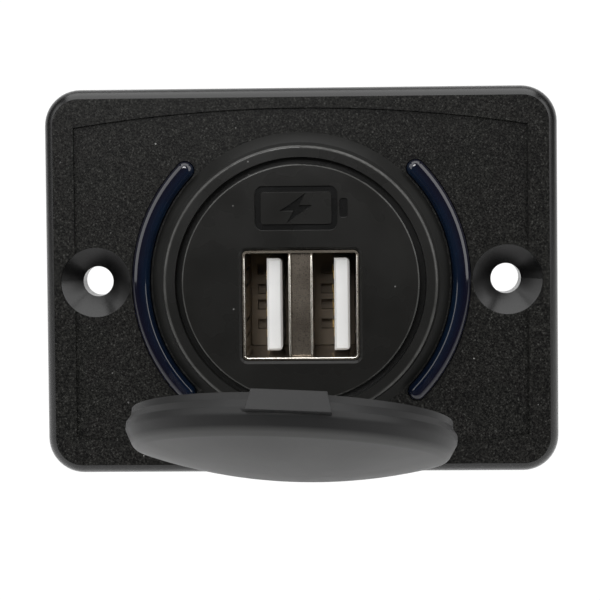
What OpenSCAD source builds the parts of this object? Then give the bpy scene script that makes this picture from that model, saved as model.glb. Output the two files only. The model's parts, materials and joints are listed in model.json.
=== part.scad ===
// Panel-mounted twin USB charging socket for a vehicle: a moulded face plate with two
// countersunk screw holes, a round socket with two upright ports, two blue light arcs
// and a dust cap on a pinned hinge, which rests open.
// Every piece is drawn lying on its back: x to the right, y up the plate and z out to
// the front, with z = 0 at the plate's mounting face. module upright() then stands it up.

/* [Face plate] */
// Width of the plate
plate_w = 62.5; // [60:0.5:70]
// Height of the plate
plate_h = 47; // [46:0.5:56]
// Thickness of the plate from its mounting face to its border
plate_t = 5; // [4.6:0.1:7]
// Corner radius of the plate
plate_corner_r = 4.4; // [3:0.1:7]
// Width of the curved band round the plate's front
edge_band_w = 1.2; // [0.5:0.1:2]
// How far that band runs down the plate's sides
edge_band_h = 2; // [1.9:0.1:3]
// Thickness of the plate's moulded front wall
plate_wall = 1.8; // [1.4:0.1:2.4]
// Thickness of the rim that stands on the panel
rim_wall = 2; // [1.2:0.1:2.6]
// Width of the border left and right of the sunk field
field_side_border = 3.75; // [3:0.05:5]
// Height of the sunk field at its left and right ends
field_side_h = 37.6; // [34:0.2:40]
// Rise of the field's curved upper and lower edges
field_rise = 2.2; // [1:0.1:3]
// Depth of the sunk field
field_depth = 0.4; // [0.2:0.05:0.6]
// Thickness of the ribs behind the plate
rib_t = 1.2; // [0.8:0.1:1.8]

/* [Screw holes] */
// Distance between the two screw holes
screw_spacing = 50; // [48:0.5:56]
// Diameter of a screw hole
screw_hole_d = 3.7; // [3:0.1:4.4]
// Diameter of the countersink at the field
screw_sink_d = 8.5; // [7:0.1:9]
// Depth of the countersink's cone
screw_sink_h = 2; // [1.4:0.1:2.4]
// Diameter of the boss round a screw hole
screw_boss_d = 7; // [6:0.1:7.4]

/* [Light arcs] */
// Middle radius of the two light arcs
arc_mid_r = 19.45; // [19.2:0.05:20]
// Width of a light arc
arc_w = 2.2; // [1.6:0.05:2.4]
// Half the angle that an arc spans
arc_half_angle = 44; // [30:1:52]
// How far the arcs stand out of the field
arc_proud = 0.8; // [0.4:0.1:1.2]
// Rounding of an arc's top edges
arc_round = 0.8; // [0.2:0.05:1.05]
// Gap between an arc and its slot
arc_gap = 0.08; // [0.04:0.02:0.2]
// Thickness of the light guide's base ring
guide_t = 0.8; // [0.5:0.1:1]
// Outer diameter of the base ring and of the light board
guide_d = 42.2; // [42:0.1:43]
// Thickness of the light board
led_board_t = 0.8; // [0.6:0.1:1]
// Height of a light-emitting diode
led_h = 0.65; // [0.4:0.05:0.8]
// Number of diodes behind each arc
leds_per_arc = 4; // [2:1:6]
// Diameter of the pegs that hold the light guide
peg_d = 2.2; // [1.8:0.1:2.6]
// Diameter of the pegs' tips, which are pressed flat behind the board
peg_tip_d = 1.2; // [0.8:0.1:1.4]

/* [Socket body] */
// Outer diameter of the barrel
barrel_d = 28.8; // [28:0.1:29]
// Wall thickness of the barrel
barrel_wall = 1.4; // [1.2:0.05:1.5]
// Free length inside the barrel between the input capacitor and the blades
rear_space = 0.5; // [0.5:0.5:12]
// Diameter of the round front flange
flange_d = 32.8; // [32:0.1:33.4]
// Height of the flange above the cap's ring
flange_h = 2.2; // [2:0.1:3]
// Rounding of the flange's front edge
flange_edge_r = 0.3; // [0.2:0.05:1]
// Diameter of the flange's recess, in which the front disc sits
recess_d = 30; // [29.8:0.1:30.6]
// Depth of that recess
recess_h = 1.6; // [1.2:0.1:1.9]
// Depth to which the barrel is turned down behind the plate for its thread
thread_depth = 0.5; // [0.3:0.05:0.6]
// Width of the key that stops the barrel from turning
key_w = 3; // [2:0.1:4]
// Gap between the barrel and what it passes through
barrel_gap = 0.15; // [0.05:0.05:0.3]

/* [Front disc] */
// Diameter of the front disc
disc_d = 28.4; // [28:0.1:28.8]
// Thickness of the front disc
disc_t = 1.5; // [1.2:0.1:1.8]
// Rounding of the disc's edge
disc_edge_r = 0.2; // [0.1:0.05:0.6]
// Length of the collar behind the disc that fits in the barrel
disc_collar_h = 4; // [3:0.5:5]
// Wall thickness of the collar
disc_collar_wall = 0.8; // [0.6:0.05:0.8]
// How far the ports' middle lies below the disc's centre
port_drop = 2.7; // [2:0.1:2.8]
// Chamfer round the disc's window
window_chamfer = 0.3; // [0.1:0.05:0.5]
// Width of the two clips that hold the disc in the barrel
clip_w = 4; // [3:0.5:5]
// Height of a clip
clip_h = 1.2; // [0.8:0.1:1.4]

/* [USB ports] */
// Clear height of a port
port_h = 12.5; // [12.4:0.05:12.6]
// Clear width of a port
port_w = 5.2; // [5.1:0.05:5.3]
// Width of the folded partition between the ports
partition_w = 2.9; // [2.4:0.1:3.2]
// Sheet thickness of the shell and the partition
sheet_t = 0.3; // [0.2:0.05:0.35]
// Inner bend radius of the shell's four corners
bend_r = 0.3; // [0.2:0.05:0.5]
// Depth of a port from the shell's front edge to its rear wall
port_depth = 12.5; // [11:0.5:14]
// How far the shell's front edge lies behind the disc's face
shell_setback = 0.4; // [0.2:0.1:0.8]
// Height of a tongue
tongue_h = 11.1; // [11:0.05:11.2]
// Thickness of a tongue
tongue_t = 1.85; // [1.7:0.05:1.9]
// How far a tongue lies to the right of its port's middle
tongue_shift = 0.9; // [0.8:0.05:1]
// How far a tongue's end lies behind the shell's front edge
tongue_setback = 1.2; // [0.8:0.1:1.6]
// Rounding of a tongue's two long edges on its plain side
tongue_round = 0.55; // [0.3:0.05:0.7]
// Chamfer round a tongue's end
tongue_chamfer = 0.25; // [0.1:0.05:0.3]
// Width of a contact
contact_w = 1; // [0.8:0.05:1.1]
// Thickness of a contact
contact_t = 0.25; // [0.15:0.05:0.3]
// Thickness of the insulator behind the ports
insulator_t = 4.8; // [4:0.2:6]

/* [Dust cap] */
// Gap between the flange and the skirt of the closed cap
cap_gap = 0.25; // [0.15:0.05:0.4]
// Thickness of the skirt at its open edge
skirt_t = 0.55; // [0.45:0.05:0.8]
// Height of the skirt's straight edge band
cap_edge_h = 0.7; // [0.4:0.1:1]
// How far the wall bulges out past the edge band
cap_bulge = 0.5; // [0.3:0.05:0.7]
// Height of the widest place above the open edge
cap_wide_h = 1.5; // [1.2:0.1:2]
// How far the crease between wall and dome lies inside the edge band
crease_in = 0.45; // [0.2:0.05:0.7]
// Height of the crease above the open edge
cap_crease_h = 4; // [3.8:0.05:4.6]
// Height of the dome above the crease
cap_dome_h = 2.45; // [1.5:0.05:3]
// Thickness of the cap's roof
cap_roof_t = 1.2; // [0.8:0.1:1.6]
// Width of the finger tab at the open edge
tab_w = 7.3; // [6:0.1:9]
// How much wider the tab is on its dome side
tab_flare = 1; // [0:0.1:2]
// Thickness of the finger tab
tab_t = 2; // [1.5:0.1:2.4]
// How far the tab stands out of the skirt
tab_out = 1.9; // [1:0.1:3]
// Angle by which the cap stands open
cap_open = 72.2; // [0:0.2:140]

/* [Cap ring and hinge] */
// Outer diameter of the ring at the plate
ring_d = 36.1; // [35.6:0.1:36.4]
// Outer diameter of the ring under the flange
ring_top_d = 33.6; // [33.2:0.1:34]
// Thickness of the ring
ring_t = 1.3; // [1:0.1:1.6]
// Turn of the ring about the socket's axis, as it was clamped
ring_turn = -2.6; // [-10:0.1:10]
// Distance from the cap's widest place to the hinge pin
hinge_out = 1.9; // [1.8:0.05:2.3]
// Height of the hinge pin above the sunk field
hinge_h = 1.8; // [1.7:0.05:2.2]
// Diameter of the hinge pin
pin_d = 1.5; // [1.2:0.1:1.6]
// Radial gap round the pin in the cap's knuckle
pin_gap = 0.05; // [0.02:0.01:0.08]
// Width of the cap's knuckle
knuckle_w = 6; // [4:0.5:8]
// Outer diameter of the cap's knuckle
knuckle_d = 3; // [2.6:0.1:3.2]
// Thickness of each ear of the ring
ear_t = 1.8; // [1.4:0.1:2.4]
// Outer diameter of an ear
ear_d = 3.2; // [3:0.1:3.4]
// Gap between the knuckle and each ear
knuckle_gap = 0.15; // [0.1:0.05:0.3]

/* [Fixing nut] */
// Thickness of the nut's wall outside the thread
nut_wall = 3.6; // [3.3:0.1:4.8]
// Height of the nut
nut_h = 8; // [5:0.5:12]
// Number of finger flutes round the nut
nut_flutes = 16; // [8:1:20]
// Chamfer of the nut's edges
nut_chamfer = 0.8; // [0.4:0.1:1.2]

/* [Circuit board] */
// Thickness of the main board
board_t = 1.6; // [1:0.1:1.6]
// Gap between the main board's long edges and the barrel
board_edge_gap = 0.3; // [0.15:0.05:1]
// Gap between the board's rear edge and the end of the barrel
board_end_gap = 2; // [1:0.5:3]
// Diameter of the coil's drum core
drum_d = 9; // [7:0.5:9.5]
// Height of the drum core
drum_h = 6; // [4:0.5:8]
// Diameter of the input capacitor
input_cap_d = 8; // [6:0.5:8]
// Length of the input capacitor
input_cap_h = 11; // [8:0.5:12]
// Diameter of the output capacitor
output_cap_d = 6.3; // [5:0.1:6.5]
// Length of the output capacitor
output_cap_h = 8; // [6:0.5:11]

/* [Rear end] */
// Thickness of the rear cover's disc
cover_t = 2; // [1.5:0.1:3]
// Depth of the rear cover's collar inside the barrel
cover_collar_h = 3; // [2:0.5:4]
// Width of a blade terminal
blade_w = 6.3; // [4.8:0.1:6.4]
// Thickness of a blade terminal
blade_t = 0.8; // [0.5:0.1:0.9]
// Length of a blade behind the rear cover
blade_out = 8.5; // [7:0.5:11]
// Distance between the two blades
blade_spacing = 9; // [8:0.5:11]
// Height of the wall between the blades
divider_h = 5; // [3:0.5:7]

/* [Hidden] */
$fn = 96;

// Overshoot of a cutting shape past the face that it cuts
cut = 1;
// Small assembly gap between pieces that are pushed together
fit = 0.05;

// Levels above the mounting face
field_z = plate_t - field_depth;
pocket_z = field_z - plate_wall;
ring_z = field_z + ring_t;
flange_z = ring_z + flange_h;
disc_back_z = flange_z - recess_h;
disc_z = disc_back_z + disc_t;
shell_z = disc_z - shell_setback;
port_end_z = shell_z - port_depth;
insulator_end_z = port_end_z - insulator_t;
guide_back_z = pocket_z - guide_t;
led_board_z = guide_back_z - led_h - fit;
led_board_back_z = led_board_z - led_board_t;

// Socket body
barrel_r = barrel_d / 2;
bore_r = barrel_r - barrel_wall;
thread_core_r = barrel_r - thread_depth;
passage_r = barrel_r + barrel_gap;
centre_boss_wall = 2.4;
centre_boss_r = passage_r + centre_boss_wall;
guide_gap = 0.2;
guide_inner_r = centre_boss_r + guide_gap;
key_h = 0.9;
thread_start_z = 0.2;
clip_inset = 0.8;
clip_z = disc_back_z - disc_collar_h + clip_inset;
clip_gap = 0.15;

// Plate
guide_max_h = plate_h - 2 * rim_wall - 2 * guide_gap;

// Nut
nut_bore_r = thread_core_r + fit;
nut_d = 2 * (nut_bore_r + nut_wall);

// Ports
port_x = (partition_w + port_w) / 2;
shell_in_w = 2 * port_w + partition_w;
shell_w = shell_in_w + 2 * sheet_t;
shell_h = port_h + 2 * sheet_t;
window_gap = 0.1;
contact_pitch = [-3.5, -1, 1, 3.5];
tail_step = 1.6;

// Main board
board_x = -shell_w / 2;
board_front_gap = 1.2;
board_front_z = pocket_z - board_front_gap;
board_h = 2 * sqrt(pow(bore_r - board_edge_gap, 2) - pow(board_x - board_t, 2));

// Small sizes of hidden pieces
peg_half_angle = 25;
peg_head_t = 0.25;
led_len = 2;
lead_t = 0.25;
lead_w = 0.8;
lead_pitch = 2.54;
lead_inset = 1.1;
lead_reach = guide_d / 2 - lead_inset;
spring_w = 1.6;
spring_len = 7;
spring_slot = 0.35;
leg_len = 2.4;
leg_w = 2;
leg_spread = 10;
leg_inset = 3;
leg_z = port_end_z + leg_inset;
web_setback = 0.8;
notch_w = 1.7;
notch_h = 1.3;
notch_depth = 1.5;
groove_depth = 0.15;
groove_end = 1;
tail_out = 0.6;
tail_hole_gap = 0.3;
flute_r = 1.6;
nut_collar = 1.5;
drum_rim = 0.9;
part_gap = 1.4;
part_inset = 0.9;
coil_y = (board_h - drum_d) / 2 - part_inset;
coil_z = insulator_end_z - 2 * tail_step - drum_d / 2 - part_gap;
input_cap_y = (board_h - input_cap_d) / 2 - part_inset;
input_cap_z = coil_z - (drum_d + input_cap_d) / 2 - part_gap;
output_cap_y = (output_cap_d - board_h) / 2 + part_inset;
output_cap_z = coil_z;
blade_leg_w = 2;
blade_leg_inset = 0.8;
blade_leg_z = input_cap_z - input_cap_d / 2 - rear_space - blade_leg_w;
board_back_z = blade_leg_z - blade_leg_inset;
barrel_back = board_end_gap - board_back_z;
can_groove_z = 1.4;
can_groove_r = 0.35;
chip_h = 1.6;
chip_w = 3.9;
chip_len = 4.9;
chip_pitch = 1.27;
chip_lead_w = 0.4;
chip_lead_t = 0.2;
chip_lead_out = 0.8;
diode_w = 2.6;
diode_h = 2.2;
diode_len = 4.3;
diode_lead = 0.5;
diode_lead_t = 0.4;
diode_y = (diode_w - board_h) / 2 + part_inset;
diode_z = input_cap_z;
blade_tip = 1.2;

// Cap, with heights above its open edge
cap_inner_d = flange_d + 2 * cap_gap;
cap_edge_d = cap_inner_d + 2 * skirt_t;
cap_wide_d = cap_edge_d + 2 * cap_bulge;
cap_crease_d = cap_edge_d - 2 * crease_in;
cap_rest_gap = 0.2;
gate_flat = 0.01;
hinge_r = cap_wide_d / 2 + hinge_out;
hinge_z = field_z + hinge_h;
cap_edge_z = ring_z + cap_rest_gap;

// Radius of a vault that rises by h over the half span r
function vault_radius(r, h) = (r * r + h * h) / (2 * h);

module upright() {
    rotate([90, 0, 0]) children();
}

module rounded_rectangle(w, h, r) {
    square([w - 2 * r, h], center = true);
    square([w, h - 2 * r], center = true);
    for (x = [-1, 1], y = [-1, 1])
        translate([x * (w / 2 - r), y * (h / 2 - r)]) circle(r);
}

// Half section of a round slab's edge, reaching run outwards, with its top corner rounded
module edge_section(run, t, e) {
    square([run - e, t]);
    square([run, t - e]);
    translate([run - e, t - e]) circle(e);
}

// Half section of the plate's edge, reaching run outwards: the band curves down from a
// crease in the front face and meets the side smoothly
module band_section(run) {
    band_r = vault_radius(edge_band_h, edge_band_w);
    square([run, plate_t - edge_band_h]);
    square([run - edge_band_w, plate_t]);
    intersection() {
        square([run, plate_t]);
        translate([run - band_r, plate_t - edge_band_h]) circle(band_r);
    }
}

// The plate's outer form, with round corners and the curved band
module plate_slab() {
    r = plate_corner_r;
    translate([r - plate_w / 2, r - plate_h / 2, 0])
        cube([plate_w - 2 * r, plate_h - 2 * r, plate_t]);
    for (q = [0:3]) {
        along = (q % 2 == 0 ? plate_w : plate_h) - 2 * r;
        away = (q % 2 == 0 ? plate_h : plate_w) / 2 - r;
        rotate(90 * q) translate([0, away, 0]) {
            rotate([90, 0, 90]) linear_extrude(along, center = true) band_section(r);
            translate([along / 2, 0, 0]) rotate_extrude(angle = 90) band_section(r);
        }
    }
}

// A rectangle whose upper and lower edges bulge as flat arcs
module field_outline() {
    half_w = plate_w / 2 - field_side_border;
    arc_r = vault_radius(half_w, field_rise);
    apex = field_side_h / 2 + field_rise;
    intersection() {
        square([2 * half_w, 2 * apex + cut], center = true);
        translate([0, apex - arc_r]) circle(arc_r, $fn = 256);
        translate([0, arc_r - apex]) circle(arc_r, $fn = 256);
    }
}

module screw_hole() {
    sink_z = field_z - screw_sink_h;
    translate([0, 0, -cut]) cylinder(d = screw_hole_d, h = plate_t + 2 * cut);
    translate([0, 0, sink_z]) cylinder(d1 = screw_hole_d, d2 = screw_sink_d, h = screw_sink_h);
    translate([0, 0, field_z]) cylinder(d = screw_sink_d, h = field_depth + cut);
}

// Section of a bar with two rounded top edges, centred on x = 0
module bar_section(w, h, e) {
    translate([-w / 2, 0]) square([w, h - e]);
    translate([-w / 2 + e, 0]) square([w - 2 * e, h]);
    for (s = [-1, 1]) translate([s * (w / 2 - e), h - e]) circle(e);
}

// One light arc with round ends, lying about the +x direction
module arc_bar(w, h, e) {
    rotate(-arc_half_angle) rotate_extrude(angle = 2 * arc_half_angle)
        translate([arc_mid_r, 0]) bar_section(w, h, e);
    for (s = [-1, 1])
        rotate(s * arc_half_angle) translate([arc_mid_r, 0, 0])
            rotate(s > 0 ? 0 : 180) rotate_extrude(angle = 180) intersection() {
                bar_section(w, h, e);
                square([w, 2 * h]);
            }
}

// Slot through the front wall for one light arc
module arc_slot() {
    w = arc_w + 2 * arc_gap;
    rotate(-arc_half_angle) rotate_extrude(angle = 2 * arc_half_angle)
        translate([arc_mid_r - w / 2, 0]) square([w, plate_wall + 2 * cut]);
    for (s = [-1, 1])
        rotate(s * arc_half_angle) translate([arc_mid_r, 0, 0])
            cylinder(d = w, h = plate_wall + 2 * cut);
}

// Places of the four pegs, clear of both arcs
module at_pegs() {
    for (side = [90, 270], s = [-1, 1])
        rotate(side + s * peg_half_angle) translate([arc_mid_r, 0, 0]) children();
}

// The hollow behind the plate, with its bosses and ribs left standing
module back_pocket() {
    difference() {
        rounded_rectangle(plate_w - 2 * rim_wall, plate_h - 2 * rim_wall,
            plate_corner_r - rim_wall / 2);
        circle(centre_boss_r);
        for (s = [-1, 1]) translate([s * screw_spacing / 2, 0]) {
            circle(d = screw_boss_d);
            square([rib_t, plate_h], center = true);
            translate([s * plate_w / 4, 0]) square([plate_w / 2, rib_t], center = true);
        }
    }
}

module face_plate() color("#2b2c2e") upright() {
    difference() {
        plate_slab();
        translate([0, 0, field_z]) linear_extrude(field_depth + cut) field_outline();
        for (s = [-1, 1]) translate([s * screw_spacing / 2, 0, 0]) screw_hole();
        translate([0, 0, -cut]) linear_extrude(pocket_z + cut) back_pocket();
        translate([0, 0, -cut]) cylinder(r = passage_r, h = plate_t + 2 * cut);
        translate([-key_w / 2 - fit, -passage_r - key_h, -cut])
            cube([key_w + 2 * fit, passage_r, plate_t + 2 * cut]);
        for (a = [0, 180]) rotate(a) translate([0, 0, pocket_z - cut]) arc_slot();
        lead_window(centre_boss_r);
    }
    at_pegs() {
        translate([0, 0, led_board_z]) cylinder(d = peg_d, h = pocket_z - led_board_z);
        translate([0, 0, led_board_back_z]) cylinder(d = peg_tip_d, h = led_board_t + fit);
        translate([0, 0, led_board_back_z - peg_head_t]) cylinder(d = peg_d, h = peg_head_t);
    }
}

// Outline of the light guide's base ring and of the light board, which stays clear of the
// plate's rim and of its screw bosses
module guide_ring() difference() {
    intersection() {
        circle(d = guide_d);
        square([guide_d + cut, guide_max_h], center = true);
    }
    circle(guide_inner_r);
    for (s = [-1, 1]) translate([s * screw_spacing / 2, 0])
        circle(d = screw_boss_d + 2 * guide_gap);
}

module light_guide() color("#1d3f8f") upright() {
    translate([0, 0, guide_back_z]) {
        linear_extrude(guide_t) difference() {
            guide_ring();
            at_pegs() circle(d = peg_d + 2 * fit);
        }
        for (a = [0, 180]) rotate(a)
            arc_bar(arc_w, guide_t + plate_wall + arc_proud, min(arc_round, arc_w / 2 - fit));
    }
}

module led_board() color("#e8e6df") upright() {
    translate([0, 0, led_board_back_z]) linear_extrude(led_board_t) difference() {
        guide_ring();
        at_pegs() circle(d = peg_tip_d + 2 * fit);
    }
}

module leds() color("#f2e58a") upright() {
    step = 2 * arc_half_angle / leds_per_arc;
    for (side = [0, 180], i = [0:leds_per_arc - 1])
        rotate(side - arc_half_angle + (i + 0.5) * step)
            translate([arc_mid_r - led_len / 4, -led_len / 2, led_board_z])
                cube([led_len / 2, led_len, led_h]);
}

// Two strips that feed the light board from the main board
module led_leads() color("#c9a04e") upright() {
    for (y = [-1, 1])
        translate([-lead_reach, y * lead_pitch / 2 - lead_w / 2, led_board_back_z - lead_t])
            cube([lead_reach + board_x - board_t, lead_w, lead_t]);
}

// Way for the two strips through a wall of the given radius
module lead_window(r) {
    translate([-r - cut, -lead_pitch, led_board_back_z - lead_t - 2 * fit])
        cube([r / 2, 2 * lead_pitch, lead_t + 4 * fit]);
}

module barrel_section() {
    difference() {
        union() {
            translate([0, -barrel_back]) square([thread_core_r, barrel_back + flange_z]);
            translate([0, thread_start_z]) square([barrel_r, flange_z - thread_start_z]);
            translate([0, ring_z]) edge_section(flange_d / 2, flange_h, flange_edge_r);
        }
        translate([0, -barrel_back - cut]) square([bore_r, barrel_back + flange_z + 2 * cut]);
        translate([0, disc_back_z]) square([recess_d / 2, recess_h + cut]);
    }
}

module barrel() color("#232426") upright() difference() {
    union() {
        rotate_extrude() barrel_section();
        translate([-key_w / 2, -barrel_r - key_h + fit, thread_start_z])
            cube([key_w, key_h + barrel_wall / 2, field_z - thread_start_z - fit]);
    }
    lead_window(barrel_r);
    translate([-barrel_r - cut, -clip_w / 2 - clip_gap, clip_z - clip_gap])
        cube([2 * (barrel_r + cut), clip_w + 2 * clip_gap, clip_h + 2 * clip_gap]);
}

// Outline of the window, grown by the given amount on all sides
module window_outline(grow) {
    translate([0, -port_drop]) rounded_rectangle(shell_w + 2 * grow, shell_h + 2 * grow,
        bend_r + sheet_t + grow);
}

module front_disc() color("#1f2022") upright() difference() {
    union() {
        translate([0, 0, disc_back_z])
            rotate_extrude() edge_section(disc_d / 2, disc_t, disc_edge_r);
        translate([0, 0, disc_back_z - disc_collar_h]) linear_extrude(disc_collar_h + fit)
            intersection() {
                circle(bore_r - fit);
                union() {
                    difference() {
                        circle(bore_r);
                        circle(bore_r - disc_collar_wall);
                    }
                    window_outline(window_gap + disc_collar_wall);
                }
            }
        translate([0, 0, clip_z]) linear_extrude(clip_h) intersection() {
            difference() {
                circle(barrel_r - barrel_wall / 2);
                circle(bore_r - disc_collar_wall);
            }
            square([2 * barrel_r, clip_w], center = true);
        }
    }
    translate([0, 0, disc_back_z - disc_collar_h - cut])
        linear_extrude(disc_collar_h + disc_t + 2 * cut) window_outline(window_gap);
    translate([0, -port_drop, disc_z - window_chamfer])
        window_bevel();
}

// The bevelled edge of the disc's window, widest at the disc's face and a little past it
module window_bevel() {
    r = bend_r + sheet_t + window_gap;
    half_w = shell_w / 2 + window_gap - r;
    half_h = shell_h / 2 + window_gap - r;
    depth = window_chamfer + fit;
    translate([-half_w, -half_h, 0]) cube([2 * half_w, 2 * half_h, depth]);
    for (q = [0:3]) {
        along = 2 * (q % 2 == 0 ? half_w : half_h);
        away = q % 2 == 0 ? half_h : half_w;
        rotate(90 * q) translate([0, away, 0]) {
            rotate([90, 0, 90]) linear_extrude(along, center = true) bevel_section(r, depth);
            translate([along / 2, 0, 0]) rotate_extrude(angle = 90) bevel_section(r, depth);
        }
    }
}

// Half section of an opening that reaches run outwards and flares at 45 degrees
module bevel_section(run, depth) {
    polygon([[0, 0], [run, 0], [run + depth, depth], [0, depth]]);
}

// Leaf springs of a port wall, each cut free on three sides
module spring_cuts(wall) {
    for (y = [-1, 1]) translate([0, y * port_h / 4, shell_z - port_depth / 2])
        difference() {
            cube([wall, spring_w + 2 * spring_slot, spring_len], center = true);
            translate([0, 0, spring_slot])
                cube([2 * wall, spring_w, spring_len], center = true);
        }
}

module usb_shell() color("#c8c6c0") upright() translate([0, -port_drop, 0]) {
    difference() {
        translate([0, 0, insulator_end_z]) linear_extrude(shell_z - insulator_end_z)
            difference() {
                rounded_rectangle(shell_w, shell_h, bend_r + sheet_t);
                rounded_rectangle(shell_in_w, port_h, bend_r);
            }
        for (s = [-1, 1]) translate([s * (shell_w - sheet_t) / 2, 0, 0])
            spring_cuts(2 * sheet_t);
    }
    for (y = [-1, 1])
        translate([-shell_w / 2 - leg_len, y * leg_spread / 2 - leg_w / 2, leg_z])
            cube([leg_len + sheet_t, leg_w, sheet_t]);
}

module usb_partition() color("#a9a59c") upright() translate([0, -port_drop, 0]) {
    difference() {
        translate([-partition_w / 2, -port_h / 2 + fit, port_end_z])
            cube([partition_w, port_h - 2 * fit, port_depth]);
        translate([-partition_w / 2 + sheet_t, -port_h / 2, shell_z - web_setback])
            cube([partition_w - 2 * sheet_t, port_h, web_setback + cut]);
        translate([-partition_w / 2 + sheet_t, -port_h / 2, port_end_z - cut])
            cube([partition_w - 2 * sheet_t, port_h,
                port_depth - web_setback - sheet_t + cut]);
        for (s = [-1, 1]) translate([s * (partition_w - sheet_t) / 2, 0, 0])
            spring_cuts(2 * sheet_t);
    }
}

// Left face of the tongue in the port whose middle lies at x
function tongue_face(x) = x + tongue_shift - tongue_t / 2;

module usb_insulator() color("#3a322c") upright() translate([0, -port_drop, 0]) difference() {
    translate([0, 0, insulator_end_z]) linear_extrude(insulator_t)
        rounded_rectangle(shell_in_w - 2 * fit, port_h - 2 * fit, bend_r);
    for (s = [-1, 1], y = contact_pitch) {
        translate([tongue_face(s * port_x) - notch_w, y - notch_h / 2, port_end_z - notch_depth])
            cube([notch_w, notch_h, notch_depth + cut]);
        translate([tongue_face(s * port_x) - contact_t, y - contact_w / 2 - fit,
                insulator_end_z - cut])
            cube([contact_t + fit, contact_w + 2 * fit, insulator_t + 2 * cut]);
    }
}

// A tongue's section, rounded on its plain right side
module tongue_section() {
    r = tongue_round;
    translate([-tongue_t / 2, -tongue_h / 2]) square([tongue_t - r, tongue_h]);
    translate([-tongue_t / 2, r - tongue_h / 2]) square([tongue_t, tongue_h - 2 * r]);
    for (y = [-1, 1]) translate([tongue_t / 2 - r, y * (tongue_h / 2 - r)]) circle(r);
}

// Side outline of a tongue's chamfered end, w wide and lying along +y
module tongue_side(w) {
    reach = port_depth - tongue_setback;
    c = tongue_chamfer;
    polygon([[-w / 2, 0], [w / 2, 0], [w / 2, reach - c], [w / 2 - c, reach],
        [-w / 2 + c, reach], [-w / 2, reach - c]]);
}

module tongue(x) color("#e9e9e6") upright() translate([x, -port_drop, 0]) difference() {
    translate([tongue_shift, 0, port_end_z]) intersection() {
        linear_extrude(port_depth) tongue_section();
        rotate([90, 0, 0]) linear_extrude(tongue_h + cut, center = true) tongue_side(tongue_t);
        rotate([90, 0, 90]) linear_extrude(tongue_t + cut, center = true) tongue_side(tongue_h);
    }
    for (y = contact_pitch)
        translate([tongue_shift - tongue_t / 2 - cut, y - contact_w / 2 - fit, port_end_z - cut])
            cube([cut + groove_depth, contact_w + 2 * fit,
                port_depth - tongue_setback - groove_end + cut]);
}

module tongue_left() tongue(-port_x);
module tongue_right() tongue(port_x);

// Four contact strips on one tongue, whose tails bend over to the main board
module contacts(x, tail) color("#cfa44a") upright() translate([0, -port_drop, 0])
    for (y = contact_pitch) translate([0, y - contact_w / 2, 0]) {
        front = shell_z - tongue_setback - groove_end - fit;
        back = insulator_end_z - tail * tail_step;
        face = tongue_face(x);
        translate([face - contact_t + groove_depth, 0, port_end_z])
            cube([contact_t, contact_w, front - port_end_z]);
        translate([face - contact_t, 0, back])
            cube([contact_t, contact_w, port_end_z - back]);
        translate([board_x - board_t - tail_out, 0, back])
            cube([face - board_x + board_t + tail_out, contact_w, contact_t]);
    }

module contacts_left() contacts(-port_x, 1);
module contacts_right() contacts(port_x, 2);

module cap_ring() color("#2f3032") upright() rotate(ring_turn) {
    difference() {
        union() {
            translate([0, 0, field_z]) cylinder(d1 = ring_d, d2 = ring_top_d, h = ring_t);
            for (s = [-1, 1]) translate([s * (knuckle_w / 2 + knuckle_gap + ear_t / 2), 0, 0])
                ear();
        }
        translate([0, 0, field_z - cut]) cylinder(r = passage_r, h = ring_t + 2 * cut);
        translate([0, -hinge_r, hinge_z]) rotate([0, 90, 0])
            cylinder(d = pin_d, h = knuckle_w + 4 * ear_t, center = true);
    }
}

// One hinge ear, round about the pin and with its foot on the ring
module ear() {
    translate([-ear_t / 2, -hinge_r, hinge_z]) rotate([90, 0, 90]) cylinder(d = ear_d, h = ear_t);
    translate([-ear_t / 2, -hinge_r, field_z])
        cube([ear_t, hinge_r - ring_top_d / 2 + ring_t, ring_t]);
    translate([-ear_t / 2, -hinge_r, field_z])
        cube([ear_t, ear_d / 2, hinge_h]);
}

module hinge_pin() color("#b9bbbe") upright() rotate(ring_turn)
    translate([0, -hinge_r, hinge_z]) rotate([0, 90, 0])
        cylinder(d = pin_d, h = knuckle_w + 2 * (knuckle_gap + ear_t), center = true);

// Outer outline of the closed cap, half of it: the wall's taper runs on above the
// crease, where the dome's arc cuts it off, and the crown has the mould's flat spot
module cap_outline() {
    crown = cap_crease_h + cap_dome_h;
    dome_r = vault_radius(cap_crease_d / 2, cap_dome_h);
    taper_h = cap_wide_h + cap_edge_h;
    taper = (cap_wide_d - cap_crease_d) / 2 / (cap_crease_h - taper_h);
    intersection() {
        polygon([[0, 0], [cap_edge_d / 2, 0], [cap_edge_d / 2, cap_edge_h],
            [cap_wide_d / 2, cap_wide_h], [cap_wide_d / 2, taper_h],
            [cap_crease_d / 2 - taper * (cap_dome_h - gate_flat), crown - gate_flat],
            [0, crown - gate_flat]]);
        translate([0, crown - dome_r]) circle(dome_r, $fn = 256);
    }
}

// Hollow of the closed cap: a straight skirt under a vaulted roof, with the mould's
// small flat spot at its crown
module cap_hollow() {
    top = cap_crease_h + cap_dome_h - cap_roof_t;
    roof_r = vault_radius(cap_inner_d / 2, cap_dome_h);
    intersection() {
        translate([0, -cut]) square([cap_inner_d / 2, top + cut - gate_flat]);
        translate([0, top - roof_r]) circle(roof_r, $fn = 256);
    }
}

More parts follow.
